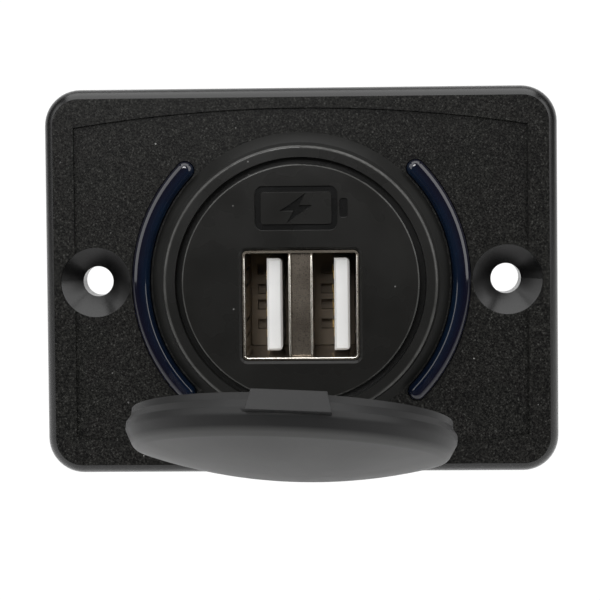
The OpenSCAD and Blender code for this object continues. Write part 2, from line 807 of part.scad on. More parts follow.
// The cap as it lies closed, with z = 0 at its open edge
module closed_cap() {
    tab_base = cap_edge_d / 2 - 1;
    difference() {
        union() {
            rotate_extrude() cap_outline();
            translate([0, tab_base + tab_out + 1, 0]) rotate([90, 0, 0])
                linear_extrude(tab_out + 1) polygon([[-tab_w / 2, 0], [tab_w / 2, 0],
                    [(tab_w + tab_flare) / 2, tab_t], [-(tab_w + tab_flare) / 2, tab_t]]);
            knuckle();
        }
        rotate_extrude() cap_hollow();
        translate([0, -hinge_r, hinge_z - cap_edge_z]) rotate([0, 90, 0])
            cylinder(d = pin_d + 2 * pin_gap, h = knuckle_w + 2 * cut, center = true);
    }
}

// The cap's knuckle and the arm that joins it to the skirt
module knuckle() {
    arm = hinge_r - cap_wide_d / 2 + cap_roof_t / 2;
    translate([0, -hinge_r, hinge_z - cap_edge_z]) {
        rotate([0, 90, 0]) cylinder(d = knuckle_d, h = knuckle_w, center = true);
        translate([-knuckle_w / 2, 0, 0]) cube([knuckle_w, arm, knuckle_d / 2]);
    }
}

module dust_cap() color("#4a4b4d") upright() rotate(ring_turn)
    translate([0, -hinge_r, hinge_z]) rotate([cap_open, 0, 0])
        translate([0, hinge_r, cap_edge_z - hinge_z]) closed_cap();

module fixing_nut() color("#2a2b2d") upright() difference() {
    translate([0, 0, -nut_h]) rotate_extrude() polygon([
        [nut_bore_r, 0], [nut_d / 2 - nut_chamfer, 0], [nut_d / 2, nut_chamfer],
        [nut_d / 2, nut_h - nut_chamfer], [nut_d / 2 - nut_chamfer, nut_h],
        [nut_bore_r, nut_h]]);
    for (i = [1:nut_flutes]) rotate((i - 0.5) * 360 / nut_flutes)
        translate([nut_d / 2 + flute_r / 2, 0, -nut_h - cut])
            cylinder(r = flute_r, h = nut_h - nut_collar + cut);
}

module main_board() color("#1f5a3a") upright() difference() {
    translate([board_x - board_t, -board_h / 2, board_back_z])
        cube([board_t, board_h, board_front_z - board_back_z]);
    for (y = contact_pitch, tail = [1, 2])
        translate([board_x - board_t - cut, y - port_drop,
                insulator_end_z - tail * tail_step + contact_t / 2])
            rotate([0, 90, 0])
                cylinder(d = contact_w + tail_hole_gap, h = board_t + 2 * cut);
    for (y = [-1, 1])
        translate([board_x - board_t - cut, y * leg_spread / 2 - leg_w / 2 - fit - port_drop,
                leg_z - fit])
            cube([board_t + 2 * cut, leg_w + 2 * fit, sheet_t + 2 * fit]);
    for (y = [-1, 1])
        translate([board_x - board_t - cut, y * blade_spacing / 2 - blade_t / 2 - fit,
                blade_leg_z - fit])
            cube([board_t + 2 * cut, blade_t + 2 * fit, blade_leg_w + 2 * fit]);
}

// Stands a round component on the main board's inner face
module on_board(y, z) {
    translate([board_x, y, z]) rotate([0, 90, 0]) children();
}

module coil_core() color("#3b3c3f") upright() on_board(coil_y, coil_z) {
    cylinder(d = drum_d, h = drum_rim);
    cylinder(d = drum_d / 2, h = drum_h);
    translate([0, 0, drum_h - drum_rim]) cylinder(d = drum_d, h = drum_rim);
}

module coil_winding() color("#b5651d") upright() on_board(coil_y, coil_z)
    translate([0, 0, drum_rim + fit]) difference() {
        cylinder(d = drum_d - 1, h = drum_h - 2 * drum_rim - 2 * fit);
        translate([0, 0, -cut]) cylinder(d = drum_d / 2 + 2 * fit, h = drum_h + 2 * cut);
    }

// An upright can with a crimped groove near its foot
module can(d, h) {
    difference() {
        cylinder(d = d, h = h);
        translate([0, 0, can_groove_z]) rotate_extrude() translate([d / 2, 0])
            circle(can_groove_r);
    }
}

module input_capacitor() color("#2b3f63") upright()
    on_board(input_cap_y, input_cap_z) can(input_cap_d, input_cap_h);

module output_capacitor() color("#2b3f63") upright()
    on_board(output_cap_y, output_cap_z) can(output_cap_d, output_cap_h);

module converter_chip() color("#1a1a1b") upright()
    translate([board_x - board_t, coil_y, coil_z]) {
        translate([-chip_h, -chip_len / 2, -chip_w / 2]) cube([chip_h - fit, chip_len, chip_w]);
        for (i = [-1.5:1:1.5], s = [-1, 1])
            translate([-chip_h / 2, i * chip_pitch, s * chip_w / 2]) chip_lead(s);
    }

// One gull-wing lead, reaching out to side s and down to the board
module chip_lead(s) {
    near = s > 0 ? 0 : -chip_lead_out;
    foot = s > 0 ? chip_lead_out - chip_lead_t : -chip_lead_out;
    translate([0, -chip_lead_w / 2, near]) cube([chip_lead_t, chip_lead_w, chip_lead_out]);
    translate([0, -chip_lead_w / 2, foot]) cube([chip_h / 2, chip_lead_w, chip_lead_t]);
}

module rectifier_diode() color("#222223") upright()
    translate([board_x, diode_y - diode_w / 2, diode_z - diode_len / 2]) {
        cube([diode_h, diode_w, diode_len]);
        translate([0, diode_w / 4, -diode_lead])
            cube([diode_lead_t, diode_w / 2, diode_len + 2 * diode_lead]);
    }

module rear_cover() color("#2a2b2d") upright() difference() {
    translate([0, 0, -barrel_back]) {
        translate([0, 0, -cover_t]) cylinder(r = barrel_r, h = cover_t);
        translate([0, 0, -fit]) cylinder(r = bore_r - fit, h = cover_collar_h + fit);
        translate([-bore_r / 2, -rib_t / 2, -cover_t - divider_h])
            cube([bore_r, rib_t, divider_h + fit]);
    }
    translate([0, 0, -barrel_back]) cylinder(r = bore_r - rib_t - fit, h = cover_collar_h + cut);
    translate([board_x - board_t - fit, -board_h / 2 - fit, board_back_z - fit])
        cube([board_t + 2 * fit, board_h + 2 * fit, cover_collar_h]);
    for (y = [-1, 1])
        translate([-blade_w / 2 - fit, y * blade_spacing / 2 - blade_t / 2 - fit,
                -barrel_back - cover_t - cut])
            cube([blade_w + 2 * fit, blade_t + 2 * fit, cover_t + 2 * cut]);
}

// A blade terminal with a chamfered tip, and a leg inside that crosses to the board
module blade(side) color("#c9b27a") upright()
    translate([0, side * blade_spacing / 2 + blade_t / 2, 0]) rotate([90, 0, 0])
        linear_extrude(blade_t) {
            tip = -barrel_back - cover_t - blade_out;
            polygon([[-blade_w / 2, blade_leg_z + blade_leg_w], [-blade_w / 2, tip + blade_tip],
                [-blade_w / 2 + blade_tip, tip], [blade_w / 2 - blade_tip, tip],
                [blade_w / 2, tip + blade_tip], [blade_w / 2, blade_leg_z + blade_leg_w]]);
            translate([board_x - board_t - tail_out, blade_leg_z])
                square([board_t + tail_out - board_x, blade_leg_w]);
        }

module terminal_positive() blade(1);
module terminal_negative() blade(-1);

face_plate();
light_guide();
led_board();
leds();
led_leads();
barrel();
front_disc();
usb_shell();
usb_partition();
usb_insulator();
tongue_left();
tongue_right();
contacts_left();
contacts_right();
cap_ring();
hinge_pin();
dust_cap();
fixing_nut();
main_board();
coil_core();
coil_winding();
input_capacitor();
output_capacitor();
converter_chip();
rectifier_diode();
rear_cover();
terminal_positive();
terminal_negative();
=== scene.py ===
"""Looks of a panel-mounted twin USB charging socket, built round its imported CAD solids."""

import json
import math

import bmesh
import bpy
import numpy as np
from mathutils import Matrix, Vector


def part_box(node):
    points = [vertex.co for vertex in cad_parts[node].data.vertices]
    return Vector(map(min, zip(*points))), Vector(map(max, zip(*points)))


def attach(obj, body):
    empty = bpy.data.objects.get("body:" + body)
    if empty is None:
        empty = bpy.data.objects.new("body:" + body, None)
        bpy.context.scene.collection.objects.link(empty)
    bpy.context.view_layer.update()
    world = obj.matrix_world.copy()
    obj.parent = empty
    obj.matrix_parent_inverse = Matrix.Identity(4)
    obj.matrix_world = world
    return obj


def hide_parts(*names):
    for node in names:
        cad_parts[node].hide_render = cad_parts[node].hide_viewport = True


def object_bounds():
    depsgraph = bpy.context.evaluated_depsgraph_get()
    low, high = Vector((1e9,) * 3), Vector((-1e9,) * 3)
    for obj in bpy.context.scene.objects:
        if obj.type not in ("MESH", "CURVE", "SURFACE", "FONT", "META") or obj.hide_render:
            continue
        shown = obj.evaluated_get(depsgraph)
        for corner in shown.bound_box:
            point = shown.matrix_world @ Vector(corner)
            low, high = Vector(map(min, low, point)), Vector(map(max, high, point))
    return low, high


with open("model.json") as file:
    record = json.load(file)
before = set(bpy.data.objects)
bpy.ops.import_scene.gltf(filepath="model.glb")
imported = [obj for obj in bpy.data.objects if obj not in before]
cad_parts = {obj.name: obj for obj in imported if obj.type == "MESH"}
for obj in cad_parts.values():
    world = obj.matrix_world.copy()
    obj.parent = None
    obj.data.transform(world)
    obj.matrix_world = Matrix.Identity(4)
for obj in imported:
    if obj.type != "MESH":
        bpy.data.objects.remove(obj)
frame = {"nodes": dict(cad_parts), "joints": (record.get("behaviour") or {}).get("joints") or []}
cad_low, cad_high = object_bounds()
nodes = frame["nodes"]
scene = bpy.context.scene


# Camera. A long lens stands square in front of the plate, a little above the socket's
# middle, and looks slightly down and to the left. A small shift frames the open cap.
lens = bpy.data.cameras.new("camera")
lens.lens = 86.4
lens.sensor_width = 36
lens.shift_y = -0.15
lens.clip_start = 0.01
camera = bpy.data.objects.new("camera", lens)
camera.location = (0.00415, -0.17911, 0.01289)
camera.rotation_euler = [math.radians(a) for a in (88.592, 0.555, 1.364)]
scene.collection.objects.link(camera)
scene.camera = camera


# Studio. One large soft box hangs overhead, two stand at the sides well to the front, a small
# one above the camera reaches into the ports, and a pale floor runs up into a backdrop. Every
# rounded edge mirrors something bright, the flat faces the dark room behind the camera.
def soft_lamp(name, place, width, height, glow):
    """A rectangular lamp at place that faces the socket. Its power is pi times its area times
    glow, the radiance of its face."""
    lamp = bpy.data.lights.new(name, "AREA")
    lamp.shape = "RECTANGLE"
    lamp.size, lamp.size_y = width, height
    lamp.energy = math.pi * width * height * glow
    holder = bpy.data.objects.new(name, lamp)
    holder.location = place
    holder.rotation_euler = Vector(place).to_track_quat("Z", "Y").to_euler()
    scene.collection.objects.link(holder)


soft_lamp("box_above", (0.0, -0.12, 0.6), 0.8, 0.75, 2.1)
soft_lamp("box_left", (-0.56, -0.44, 0.23), 0.75, 0.8, 1.7)
soft_lamp("box_right", (0.56, -0.44, 0.23), 0.7, 0.8, 2.1)
soft_lamp("box_front", (-0.07, -0.55, 0.21), 0.18, 0.18, 11.0)


def add(tree, kind, inputs=None, **settings):
    """Adds a node, sets its properties, and fills or links the inputs named."""
    node = tree.nodes.new(kind)
    for key, value in settings.items():
        setattr(node, key, value)
    for key, value in (inputs or {}).items():
        if isinstance(value, bpy.types.NodeSocket):
            tree.links.new(value, node.inputs[key])
        else:
            node.inputs[key].default_value = value
    return node


world = bpy.data.worlds.new("studio_air")
world.use_nodes = True
scene.world = world
air = world.node_tree
air.nodes.clear()
seen = add(air, "ShaderNodeLightPath").outputs
pale = add(air, "ShaderNodeBackground", {"Color": (1, 1, 1, 1), "Strength": 1.0})
dim = add(air, "ShaderNodeBackground", {"Color": (1, 1, 1, 1), "Strength": 0.08})
either = add(air, "ShaderNodeMixShader",
             {0: seen["Is Camera Ray"], 1: dim.outputs[0], 2: pale.outputs[0]})
add(air, "ShaderNodeOutputWorld", {"Surface": either.outputs[0]})


def grid_mesh(name, points, close_u=False, close_v=False, capped=False):
    """A mesh of quads over an array of points P[u, v]; each close flag joins the last row or
    column to the first. Capped puts a face across the first row and one across the last."""
    rows, columns = points.shape[:2]
    index = np.arange(rows * columns).reshape(rows, columns)
    caps = [index[0].tolist(), index[-1, ::-1].tolist()] if capped else []
    if close_u:
        index = np.vstack([index, index[:1]])
    if close_v:
        index = np.hstack([index, index[:, :1]])
    quads = np.stack([index[:-1, :-1], index[1:, :-1], index[1:, 1:], index[:-1, 1:]], axis=-1)
    mesh = bpy.data.meshes.new(name)
    mesh.from_pydata(points.reshape(-1, 3).tolist(), [], quads.reshape(-1, 4).tolist() + caps)
    mesh.shade_smooth()
    return mesh


def put(name, mesh, material):
    """Links a mesh as an object at the origin, in one material."""
    piece = bpy.data.objects.new(name, mesh)
    mesh.materials.clear()
    mesh.materials.append(material)
    scene.collection.objects.link(piece)
    return piece


def reckon(tree, operation, first, second=0.0):
    """The result of one sum on numbers or sockets."""
    return add(tree, "ShaderNodeMath", {0: first, 1: second}, operation=operation).outputs[0]


def spread(tree, value, low, high, start=0.0, end=1.0):
    """Maps a value running from start to end on to low to high."""
    return add(tree, "ShaderNodeMapRange", {"Value": value, "From Min": start, "From Max": end,
               "To Min": low, "To Max": high}).outputs[0]


def place_on(tree):
    """Where a point lies on its piece, in metres."""
    return add(tree, "ShaderNodeTexCoord").outputs["Object"]


# The floor is flat in front and turns up behind on a quarter circle of radius sweep. It lies
# 33 mm under the plate, so that the cap can swing right down. Where it is seen directly or
# mirrored it glows white, and painted shade darkens its colour and mirrored glow towards the
# camera.
floor_z = cad_low.z - 0.033
sweep, half_width, front_y, turn_y, wall_top = 0.25, 1.4, -0.9, 0.35, 1.2
bend = np.linspace(0, math.pi / 2, 17)
run = np.concatenate([[front_y], turn_y + sweep * np.sin(bend), [turn_y + sweep]])
rise = np.concatenate([[0], sweep * (1 - np.cos(bend)), [wall_top]])
across = np.linspace(-half_width, half_width, 5)
sheet = np.stack(np.broadcast_arrays(across[None], run[:, None], floor_z + rise[:, None]), -1)
paper = bpy.data.materials.new("backdrop_paper")
paper.use_nodes = True
tree = paper.node_tree
tree.nodes.clear()
seen = add(tree, "ShaderNodeLightPath").outputs
direct = reckon(tree, "MAXIMUM", seen["Is Camera Ray"], seen["Is Glossy Ray"])
direct = reckon(tree, "MAXIMUM", direct, seen["Is Transmission Ray"])
share = reckon(tree, "MAXIMUM", reckon(tree, "MULTIPLY", direct, 0.4),
               reckon(tree, "MULTIPLY", seen["Is Camera Ray"], 0.93))
depth = add(tree, "ShaderNodeSeparateXYZ", {0: place_on(tree)}).outputs["Y"]
# Painted shade: the floor's colour and its glow in reflections fall off towards the camera.
fade = spread(tree, depth, 0.05, 1.0, -0.15, -0.03)
matt = add(tree, "ShaderNodeBsdfDiffuse", {"Color": reckon(tree, "MULTIPLY", fade, 0.8)})
bright = reckon(tree, "MAXIMUM", fade, reckon(tree, "MULTIPLY", seen["Is Camera Ray"], 1.07))
glow = add(tree, "ShaderNodeEmission", {"Color": (1, 1, 1, 1), "Strength": bright})
either = add(tree, "ShaderNodeMixShader", {0: share, 1: matt.outputs[0], 2: glow.outputs[0]})
add(tree, "ShaderNodeOutputMaterial", {"Surface": either.outputs[0]})
floor = put("floor", grid_mesh("floor", sheet), paper)


# Face plate. One black moulding of glass-filled nylon: its flat faces have the fine grain
# that a spark-eroded mould leaves, and the mould's rounded edge and countersinks are plain.
def effect(name, inputs, outputs):
    """An empty node group with the named sockets, and its two end nodes."""
    group = bpy.data.node_groups.new(name, "ShaderNodeTree")
    for label, kind, value in inputs:
        socket = group.interface.new_socket(label, in_out="INPUT", socket_type=kind)
        if value is not None:
            socket.default_value = value
    for label, kind in outputs:
        group.interface.new_socket(label, in_out="OUTPUT", socket_type=kind)
    return group, group.nodes.new("NodeGroupInput").outputs, group.nodes.new("NodeGroupOutput")


def join(tree, node, **values):
    """Links sockets to a node's inputs; the input names have _ for a space."""
    for label, socket in values.items():
        tree.links.new(socket, node.inputs[label.replace("_", " ")])


def blend(tree, share, first, second):
    """The first colour where share is 0, running to the second where it is 1."""
    return add(tree, "ShaderNodeMix", {0: share, 6: first, 7: second},
               data_type="RGBA").outputs[2]


def moulded_grain():
    """Spark-eroded grain: round pits of one size broken up by finer noise. Height is for a
    bump; the shading output runs from 0 in the pits to 1 on the crests, for painted shade and
    light on the grain; Glint is high on the few crests that catch the light, for painted glints."""
    group, given, end = effect("moulded_grain", [
        ("Place", "NodeSocketVector", None), ("Grain mm", "NodeSocketFloat", 0.4)],
        [("Height", "NodeSocketFloat"), ("Fleck", "NodeSocketFloat"),
         ("Glint", "NodeSocketFloat")])
    scale = reckon(group, "DIVIDE", 1000.0, given["Grain mm"])
    pits = add(group, "ShaderNodeTexVoronoi", {"Vector": given["Place"], "Scale": scale,
               "Smoothness": 0.6}, feature="SMOOTH_F1").outputs["Distance"]
    crumbs = add(group, "ShaderNodeTexNoise", {"Vector": given["Place"],
                 "Scale": reckon(group, "MULTIPLY", scale, 1.6), "Detail": 2.0,
                 "Roughness": 0.6}).outputs["Fac"]
    height = add(group, "ShaderNodeMath", {0: crumbs, 1: pits, 2: crumbs},
                 operation="MULTIPLY_ADD").outputs[0]
    join(group, end, Height=height, Fleck=spread(group, crumbs, 0.0, 1.0, 0.38, 0.64),
         Glint=spread(group, crumbs, 0.0, 1.0, 0.64, 0.74))
    return group


def mould_tone():
    """Colour of a moulded surface: Tone with broad paler clouds where it was handled, and
    sparse pale dust specks."""
    group, given, end = effect("mould_tone", [
        ("Place", "NodeSocketVector", None), ("Tone", "NodeSocketColor", (0.02, 0.02, 0.02, 1)),
        ("Handled", "NodeSocketColor", (0.03, 0.03, 0.03, 1)),
        ("Clouds", "NodeSocketFloat", 120.0), ("Dust share", "NodeSocketFloat", 0.5)],
        [("Color", "NodeSocketColor"), ("Cloud", "NodeSocketFloat")])
    cloud = add(group, "ShaderNodeTexNoise", {"Vector": given["Place"], "Scale": given["Clouds"],
                "Detail": 3.0, "Roughness": 0.55}).outputs["Fac"]
    soft = spread(group, cloud, 0.0, 1.0, 0.35, 0.7)
    specks = add(group, "ShaderNodeTexVoronoi",
                 {"Vector": given["Place"], "Scale": 520.0}).outputs
    lot = add(group, "ShaderNodeSeparateColor", {"Color": specks["Color"]}).outputs["Red"]
    shown = reckon(group, "MULTIPLY", reckon(group, "LESS_THAN", specks["Distance"], 0.055),
                   reckon(group, "GREATER_THAN", lot, 0.82))
    dusty = blend(group, reckon(group, "MULTIPLY", shown, given["Dust share"]),
                  blend(group, soft, given["Tone"], given["Handled"]), (0.3, 0.3, 0.29, 1))
    join(group, end, Color=dusty, Cloud=soft)
    return group


GRAIN = moulded_grain()
TONE = mould_tone()


def finish(name, **constants):
    """A new material, its tree, its Principled shader with constants on the shader's own
    sockets, and the Object coordinates that its patterns read."""
    material = bpy.data.materials.new(name)
    material.use_nodes = True
    tree = material.node_tree
    shader = tree.nodes["Principled BSDF"]
    for label, value in constants.items():
        shader.inputs[label.replace("_", " ")].default_value = value
    return material, tree, shader, place_on(tree)


def use(tree, group, **inputs):
    """Places an effect in a material; the input names have _ for a space."""
    return add(tree, "ShaderNodeGroup", {k.replace("_", " "): v for k, v in inputs.items()},
               node_tree=group)


def bump(tree, shader, height, depth):
    """Feeds a height of the given depth in metres to the shader's normal."""
    relief = add(tree, "ShaderNodeBump", {"Height": height, "Distance": depth, "Strength": 1.0})
    join(tree, shader, Normal=relief.outputs[0])


def satin(name, tone, handled, rough, depth, grain=0.25, clouds=120.0, dust=0.4, level=0.5):
    """Plain moulded plastic: cloudy tone, a faint grain and slightly uneven gloss."""
    material, tree, shader, place = finish(name, IOR=1.5, Specular_IOR_Level=level)
    colour = use(tree, TONE, Place=place, Tone=(*tone, 1), Handled=(*handled, 1), Clouds=clouds,
                 Dust_share=dust)
    texture = use(tree, GRAIN, Place=place, Grain_mm=grain)
    join(tree, shader, Base_Color=colour.outputs["Color"],
         Roughness=spread(tree, colour.outputs["Cloud"], rough, rough + 0.08))
    bump(tree, shader, texture.outputs["Height"], depth)
    return material


def dress(material, *names):
    """Gives CAD nodes their material."""
    for name in names:
        for place in nodes[name].material_slots:
            place.material = material


def length_of(tree, vector):
    """The length of a vector."""
    return add(tree, "ShaderNodeVectorMath", {0: vector}, operation="LENGTH").outputs["Value"]


def grained_plate():
    """The plate's finish: grain on the flat faces, and none within edge of the outline, nor
    in the countersinks. The outline's distance is that of a round-cornered rectangle. The
    plain parts came off a polished mould and have a full gloss, which the grain breaks up."""
    material, tree, shader, place = finish("grained_plate", IOR=1.5, Specular_IOR_Level=0.1,
                                           Coat_Roughness=0.26)
    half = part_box("face_plate")[1]
    corner, edge, hole_x, sink_radius = 0.0044, 0.0012, 0.025, 0.0042
    axes = add(tree, "ShaderNodeSeparateXYZ", {0: place}).outputs
    aside, above = (reckon(tree, "ABSOLUTE", axes[name]) for name in "XZ")

    def distance(x, z):
        return length_of(tree, add(tree, "ShaderNodeCombineXYZ", {"X": x, "Z": z}).outputs[0])

    def past(value, limit):
        return reckon(tree, "MAXIMUM", reckon(tree, "SUBTRACT", value, limit))

    reach = distance(past(aside, half.x - corner), past(above, half.z - corner))
    flat = spread(tree, reach, 1.0, 0.0, corner - edge - 0.00005, corner - edge)
    from_hole = distance(reckon(tree, "SUBTRACT", aside, hole_x), axes["Z"])
    clear = spread(tree, from_hole, 0.0, 1.0, sink_radius, sink_radius + 0.00008)
    grainy = reckon(tree, "MULTIPLY", flat, clear)
    texture = use(tree, GRAIN, Place=place, Grain_mm=0.34).outputs
    colour = use(tree, TONE, Place=place, Tone=(0.0075, 0.0074, 0.0067, 1),
                 Handled=(0.0095, 0.0094, 0.0085, 1), Clouds=90.0, Dust_share=0.5)
    # Painted shade and light on the grain: the colour is scaled from 0.15 in the pits to 2.1 on
    # the crests. The plain edge and the countersinks take the 0.15.
    grain_light_scale = spread(tree, reckon(tree, "MULTIPLY", texture["Fleck"], grainy), 0.15, 2.1)
    grain_lit_colour = add(tree, "ShaderNodeVectorMath",
                  {0: colour.outputs["Color"], "Scale": grain_light_scale}, operation="SCALE")
    # The pale glints on the grain's crests are painted highlights.
    glinting = blend(tree, reckon(tree, "MULTIPLY", texture["Glint"], grainy),
                     grain_lit_colour.outputs[0], (0.06, 0.06, 0.056, 1))
    join(tree, shader, Base_Color=glinting, Roughness=spread(tree, grainy, 0.3, 0.42),
         Coat_Weight=spread(tree, grainy, 0.95, 0.12))
    bump(tree, shader, reckon(tree, "MULTIPLY", texture["Height"], grainy), 0.00002)
    return material


dress(grained_plate(), "face_plate")


# Light guide. Clear blue acrylic: a flat ring behind the plate, of which two arcs stand up
# through the slots. Little light comes back out of it, so it looks nearly black.
def from_axis(tree, place):
    """How far a point lies from the socket's axis, Y: the length of its X and Z."""
    flat = add(tree, "ShaderNodeVectorMath", {0: place, 1: (1.0, 0.0, 1.0)},
               operation="MULTIPLY")
    return length_of(tree, flat.outputs[0])


def clear_blue():
    """Dark blue, a shade lighter and greener towards the arcs' inner edge."""
    material, tree, shader, place = finish("clear_blue", IOR=1.55, Roughness=0.07,
                                           Coat_Weight=0.25, Coat_Roughness=0.03)
    inward = spread(tree, from_axis(tree, place), 1.0, 0.0, 0.0185, 0.0198)
    swirl = add(tree, "ShaderNodeTexNoise", {"Vector": place, "Scale": 260.0, "Detail": 2.0})
    patchy = reckon(tree, "MULTIPLY", inward, swirl.outputs["Fac"])
    join(tree, shader, Base_Color=blend(tree, patchy, (0.0022, 0.0024, 0.009, 1),
                                        (0.003, 0.014, 0.034, 1)))
    return material


dress(clear_blue(), "light_guide")

# Light board and its diodes. White solder mask over glass epoxy, with yellow-topped diodes
# soldered along each arc, fed by two brass strips from the main board.
dress(satin("white_solder_mask", (0.72, 0.72, 0.68), (0.78, 0.78, 0.75), 0.35, 0.000002,
            dust=0.0), "led_board")
dress(satin("diode_resin", (0.75, 0.62, 0.16), (0.8, 0.7, 0.25), 0.2, 0.000001, dust=0.0),
      "leds")


def plated(name, tone, stain, rough, streak=(1.0, 1.0, 1.0)):
    """Plated sheet metal: rolled streaks along the axis where streak is small, and a faint
    stain that dulls it in clouds."""
    material, tree, shader, place = finish(name, Metallic=1.0)
    along = add(tree, "ShaderNodeMapping", {"Vector": place, "Scale": streak})
    rolled = add(tree, "ShaderNodeTexNoise", {"Vector": along.outputs[0], "Scale": 9000.0,
                 "Detail": 2.0}).outputs["Fac"]
    colour = use(tree, TONE, Place=place, Tone=(*tone, 1), Handled=(*stain, 1), Clouds=300.0,
                 Dust_share=0.0)
    join(tree, shader, Base_Color=colour.outputs["Color"],
         Roughness=spread(tree, rolled, rough - 0.07, rough + 0.1))
    bump(tree, shader, rolled, 0.000003)
    return material


BRASS = plated("spring_brass", (0.78, 0.56, 0.22), (0.62, 0.42, 0.17), 0.28)
dress(BRASS, "led_leads")


# Socket body. The barrel, its round flange with the recess, all one satin black moulding.
# The flange's front corner is smoother and glossier, and a painted highlight makes it paler.
def polished_and_highlit_corner():
    """A smoother corner with a painted highlight: 1 where a point's distance from the Y axis and
    its own Y are within Width of the turned corner at Radius and Level, broken up by noise, and
    0 elsewhere."""
    group, given, end = effect("polished_and_highlit_corner", [
        ("Place", "NodeSocketVector", None), ("Radius", "NodeSocketFloat", 0.0164),
        ("Level", "NodeSocketFloat", -0.0081), ("Width", "NodeSocketFloat", 0.0003)],
        [("Wear", "NodeSocketFloat")])
    level = add(group, "ShaderNodeSeparateXYZ", {0: given["Place"]}).outputs["Y"]
    off = add(group, "ShaderNodeCombineXYZ", {
        "X": reckon(group, "SUBTRACT", from_axis(group, given["Place"]), given["Radius"]),
        "Y": reckon(group, "SUBTRACT", level, given["Level"])})
    away = reckon(group, "DIVIDE", length_of(group, off.outputs[0]), given["Width"])
    painted_light_patch = add(group, "ShaderNodeTexNoise", {"Vector": given["Place"], "Scale": 420.0,
                 "Detail": 3.0})
    broken = spread(group, painted_light_patch.outputs["Fac"], 0.45, 1.0, 0.3, 0.6)
    near = spread(group, away, 0.0, 1.0, 1.0, 0.6)
    join(group, end, Wear=reckon(group, "MULTIPLY", near, broken))
    return group


POLISH_AND_HIGHLIGHT = polished_and_highlit_corner()


def overlay(tree, shader, share, colour):
    """Lays a colour over the shader's own, in full where share is 1."""
    own = shader.inputs["Base Color"].links[0].from_socket
    join(tree, shader, Base_Color=blend(tree, share, own, colour))


def satin_with_corner(name, tone, handled, rough, grain, radius, level, width):
    """Satin plastic whose turned front corner is smoother, and paler by a painted highlight."""
    material = satin(name, tone, handled, rough, 0.0000022, grain=grain, level=0.28)
    tree = material.node_tree
    shader = tree.nodes["Principled BSDF"]
    polish_and_highlight = use(tree, POLISH_AND_HIGHLIGHT, Place=place_on(tree), Radius=radius, Level=level,
               Width=width).outputs[0]
    # The pale colour along the corner is a painted highlight.
    overlay(tree, shader, polish_and_highlight, (0.06, 0.06, 0.057, 1))
    own = shader.inputs["Roughness"].links[0].from_socket
    smoother = add(tree, "ShaderNodeMix", {0: polish_and_highlight, 2: own, 3: 0.2})
    join(tree, shader, Roughness=smoother.outputs[0])
    return material


SATIN_BLACK = satin("satin_black", (0.0105, 0.0105, 0.0103), (0.0125, 0.0125, 0.012), 0.36,
                    0.0000025, grain=0.16)
dress(satin_with_corner("socket_black", (0.0088, 0.0087, 0.0081), (0.0108, 0.0107, 0.01), 0.26,
                        grain=0.16, radius=0.01632, level=-0.00804, width=0.00034), "barrel")


# Screw thread on the barrel behind the plate, moulded in one with it: a low round-crested
# ridge of 1.5 mm pitch, on which the fixing nut runs.
def helix_ridge(name, core, height, pitch, start, end):
    """A ridge wound on a cylinder about Y. At turn angle a its middle lies start plus pitch
    times a over a full circle along Y, and its section is a trapezium that stands height
    above core and fades to nothing over the first and last half turn."""
    turn = np.linspace(0, 2 * math.pi * (end - start) / pitch,
                       int(72 * (end - start) / pitch))[:, None]
    fade = np.clip(np.minimum(turn, turn[-1] - turn) / math.pi, 0.02, 1)
    foot, crest = 0.46 * pitch, 0.12 * pitch
    off = np.array([-foot, -crest, crest, foot, 0.0])[None]
    lift = np.array([0.0, 1.0, 1.0, 0.0, 0.0])[None]
    radius = core + np.where(off == 0.0, -0.0002, -0.00004) + height * lift * fade
    along = start + pitch * turn / (2 * math.pi) + off * fade
    points = np.stack([radius * np.sin(turn), along, radius * np.cos(turn)], -1)
    return grid_mesh(name, points, close_v=True, capped=True)


ridge = helix_ridge("barrel_thread", core=0.0139, height=0.00052, pitch=0.0015, start=0.0072,
                    end=0.0372)
thread = put("barrel_thread", ridge, SATIN_BLACK)
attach(thread, "socket")


# Front disc. A smoother moulding, pressed into the recess. Above the ports it has a sunk
# sign that the mould left: a battery with a bolt in it, a general sign for charging.
SMOOTH_BLACK = satin_with_corner("smooth_black", (0.0085, 0.0083, 0.0076),
                                 (0.0098, 0.0096, 0.0088), 0.24, grain=0.14, radius=0.01416,
                                 level=-0.00796, width=0.0002)


def merged_copy(source, name, near, flat=0.0):
    """A copy of a CAD mesh in which points nearer than near are joined, and faces that meet
    at less than flat degrees are one. The normals that the CAD mesh stores are left off."""
    solid = bmesh.new()
    solid.from_mesh(source.data)
    bmesh.ops.remove_doubles(solid, verts=solid.verts, dist=near)
    if flat:
        bmesh.ops.dissolve_limit(solid, angle_limit=math.radians(flat), verts=solid.verts,
                                 edges=solid.edges)
    mesh = bpy.data.meshes.new(name)
    solid.to_mesh(mesh)
    solid.free()
    for spare in [a for a in mesh.attributes if a.name == "custom_normal"]:
        mesh.attributes.remove(spare)
    return mesh


def facing_out(mesh):
    """Turns every face of a closed mesh outwards."""
    solid = bmesh.new()
    solid.from_mesh(mesh)
    bmesh.ops.recalc_face_normals(solid, faces=solid.faces)
    solid.to_mesh(mesh)
    solid.free()
    return mesh


def rounded_path(half_w, half_h, corner, steps=8):
    """A round-cornered rectangle as points (x, z), run clockwise: each corner is a quarter
    circle about its own centre."""
    angle = (np.arange(4)[:, None] * 90 + np.linspace(0, 90, steps)[None]) * math.pi / 180
    centre = np.array([(1, 1), (1, -1), (-1, -1), (-1, 1)]) * (half_w - corner, half_h - corner)
    points = centre[:, None] + corner * np.stack([np.sin(angle), np.cos(angle)], -1)
    return points.reshape(-1, 2)


